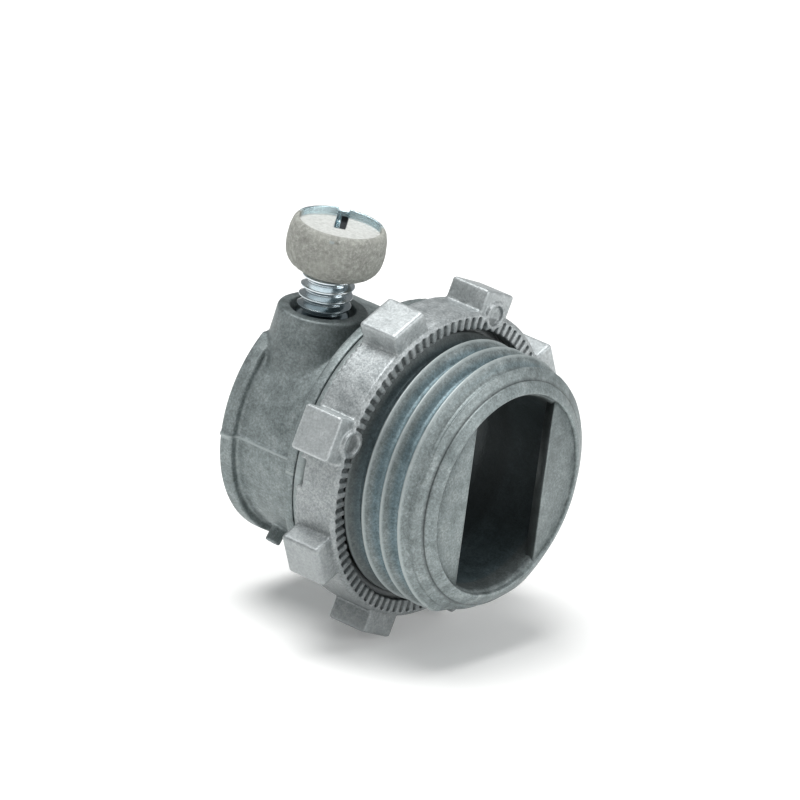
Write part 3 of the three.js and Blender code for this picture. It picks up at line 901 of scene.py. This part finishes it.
def grainy_head(name):
    """Dull, grainy coating; whitish in the dish, a painted reflection of the overhead light; painted
    shade in the slot; bright plating on the wall and rim at the rear.
    """
    n = Nodes(name)
    upright = LEAN.inverted()
    mapping = n.tree.nodes.new("ShaderNodeMapping")
    mapping.inputs["Location"].default_value = upright.translation * MM
    mapping.inputs["Rotation"].default_value = upright.to_euler()
    n.link(n.place, mapping.inputs["Vector"])
    n.place = mapping.outputs[0]
    speckle = n.noise(3200, 5, 0.8)
    cloud = n.noise(520, 3, 0.5)
    colour = n.ramp(speckle, (0.3, 0.52, 0.72), HEAD_TONES)
    colour = n.blend(n.span(cloud, 0.4, 0.7, 0, 0.4), colour, HEAD_CLOUD)
    x, y, z = n.axes()
    dx = n.maths("SUBTRACT", x, SCREW_X * MM)
    dy = n.maths("SUBTRACT", y, SCREW_Y * MM)
    away = n.reach(dx, dy)
    # distances towards the rear end of the slot, and sideways from its middle
    c, s = math.cos(SLOT_DIRECTION), math.sin(SLOT_DIRECTION)
    rear = n.maths("ADD", n.maths("MULTIPLY", dx, c), n.maths("MULTIPLY", dy, s))
    side = n.maths("SUBTRACT", n.maths("MULTIPLY", dy, c), n.maths("MULTIPLY", dx, s))
    # painted reflection of the overhead light: whitish in the dish
    dish_reflection_mask = n.both(n.span_mm(away, DISH_R - 0.04, DISH_R - 0.12),
                     n.span_mm(z, HEAD_TOP - 1.05, HEAD_TOP - 0.9))
    colour = n.blend(dish_reflection_mask, colour, n.ramp(speckle, (0.3, 0.5, 0.7), DISH_REFLECTION_TONES))
    # the plating shows on the rim at the rear, with a ragged border
    ragged = n.maths("ADD", rear, n.span(speckle, 0, 1, -0.5 * MM, 0.5 * MM))
    bright = n.both(n.span_mm(ragged, 0.6, 1.3), n.span_mm(away, DISH_R - 0.12, DISH_R - 0.04))
    bright = n.both(bright, n.span_mm(z, HEAD_TOP - 0.75, HEAD_TOP - 0.6))
    # and on one wall of the slot; the rest of the slot gets painted shade
    shaded_slot = n.both(n.span_mm(n.maths("ABSOLUTE", side), 0.5, 0.44),
                     n.span_mm(z, HEAD_TOP - 0.3, HEAD_TOP - 0.5))
    shaded_slot = n.both(shaded_slot, n.span_mm(away, 3.7, 3.6))
    shaded_slot = n.both(shaded_slot, n.span_mm(z, HEAD_TOP - 1.5, HEAD_TOP - 1.3))
    colour = n.blend(shaded_slot, colour, SLOT_SHADE)
    bright = n.maths("MAXIMUM", bright, n.both(shaded_slot, n.span_mm(side, 0.06, 0.14)))
    n.link(n.blend(bright, colour, BRIGHT_PLATING), n.shader.inputs["Base Color"])
    n.link(bright, n.shader.inputs["Metallic"])
    n.link(n.span(bright, 0, 1, 0.72, 0.18), n.shader.inputs["Roughness"])
    n.link(n.bump(speckle, 0.09, 0.9), n.shader.inputs["Normal"])
    return n.material


def floor_material():
    """Pale floor with a faint glow of its own."""
    n = Nodes("pale_floor")
    n.link(n.ramp(n.noise(40, 2), (0.3, 0.7), FLOOR_TONES), n.shader.inputs["Base Color"])
    n.shader.inputs["Roughness"].default_value = 0.6
    n.shader.inputs["Emission Color"].default_value = (1, 1, 1, 1)
    n.shader.inputs["Emission Strength"].default_value = 0.15
    return n.material


# ---------------------------------------------------------------- assembly

def finish_piece(piece, material, body, nodes=(), leans=False):
    if leans:
        piece.data.transform(LEAN)
    piece.data.transform(Matrix.Scale(MM, 4))
    piece.data.shade_smooth()
    piece.data.materials.clear()
    piece.data.materials.append(material)
    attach(piece, body)
    if nodes:
        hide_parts(*nodes)


zinc = barrel_zinc("die_cast_zinc", *CASTING_TONES, CASTING_ROUGHNESS, worn=0.5, soiled=0.1)
threaded_zinc = nose_zinc("die_cast_zinc_nose", *CASTING_TONES, CASTING_ROUGHNESS, worn=0.25)
pale_zinc = nut_zinc("die_cast_zinc_locknut", *NUT_TONES, NUT_ROUGHNESS, worn=0.35)
plating = plated_steel("bright_plating")
head_coat = grainy_head("dull_head")

finish_piece(make_barrel(), zinc, "casting")
finish_piece(make_nose(), threaded_zinc, "casting", ("connector_body",))
locknut = join(make_locknut(), [make_nut_thread()])
finish_piece(locknut, pale_zinc, "nut", ("locknut",))
finish_piece(make_land(), zinc, "nut_carrier", ("locknut_land",))
finish_piece(make_screw_thread(), plating, "screw", leans=True)
finish_piece(make_screw_head(), head_coat, "screw", ("clamp_screw",), leans=True)
finish_piece(make_tip(), plating, "screw_carrier", ("clamp_screw_tip",), leans=True)


# ---------------------------------------------------------------- stage

FLOOR_HALF = 0.6
FLOOR_GAP = 0.0002
# degrees round from -Y, above the floor, and rolled
CAMERA_TURN = (38.55, 20.99, 7.62)
CAMERA_DISTANCE = 0.6587
CAMERA_LENS = 387.7
CAMERA_SENSOR = 36
# millimetres: the point looked at, and how far right of and below the middle it is seen
LOOK_AT = (6.4, 0, 0)
LOOK_RIGHT = 4.246
LOOK_BELOW = 5.501
# name, place from the middle of the object in metres, diameter, power
LIGHTS = (("key", (-0.05, -0.06, 0.38), 0.30, 2.0),
          ("fill", (-0.35, -0.30, 0.12), 0.35, 0.05),
          ("front", (0.40, 0.13, 0.15), 0.34, 1.0))
WORLD_COLOUR = (0.96, 0.99, 1.0, 1)
WORLD_STRENGTH = 0.28


def make_floor():
    half = FLOOR_HALF
    level = cad_low[2] - FLOOR_GAP
    mesh = bpy.data.meshes.new("floor")
    mesh.from_pydata([(-half, -half, level), (half, -half, level), (half, half, level),
                      (-half, half, level)], [], [(0, 1, 2, 3)])
    floor = new_object("floor", mesh)
    mesh.materials.append(floor_material())


def make_light(name, place, target, size, power):
    lamp = bpy.data.lights.new(name, "AREA")
    lamp.shape = "DISK"
    lamp.size = size
    lamp.energy = power
    obj = new_object(name, lamp)
    obj.location = place
    obj.rotation_euler = (Vector(target) - Vector(place)).to_track_quat("-Z", "Y").to_euler()


def make_camera():
    """A long lens, 38.5 degrees round from the side, 21 above, and rolled by 7.6."""
    azimuth, elevation, roll = (math.radians(angle) for angle in CAMERA_TURN)
    back = Vector((math.sin(azimuth) * math.cos(elevation), -math.cos(azimuth) * math.cos(elevation),
                   math.sin(elevation)))
    right = Vector((math.cos(azimuth), math.sin(azimuth), 0))
    up = back.cross(right)
    across = right * math.cos(roll) + up * math.sin(roll)
    upward = up * math.cos(roll) - right * math.sin(roll)
    look_at = Vector(LOOK_AT) * MM - across * LOOK_RIGHT * MM + upward * LOOK_BELOW * MM
    data = bpy.data.cameras.new("camera")
    data.sensor_width = CAMERA_SENSOR
    data.lens = CAMERA_LENS
    data.clip_start = 0.01
    camera = new_object("camera", data)
    turn = Matrix((across, upward, back)).transposed().to_4x4()
    camera.matrix_world = Matrix.Translation(look_at + back * CAMERA_DISTANCE) @ turn
    bpy.context.scene.camera = camera


make_floor()
make_camera()
centre = (cad_low + cad_high) / 2
for name, place, size, power in LIGHTS:
    make_light(name, centre + Vector(place), centre, size, power)
world = bpy.data.worlds.new("studio")
world.use_nodes = True
background = world.node_tree.nodes["Background"]
background.inputs[0].default_value = WORLD_COLOUR
background.inputs[1].default_value = WORLD_STRENGTH
bpy.context.scene.world = world
bpy.context.scene.view_settings.view_transform = "Standard"
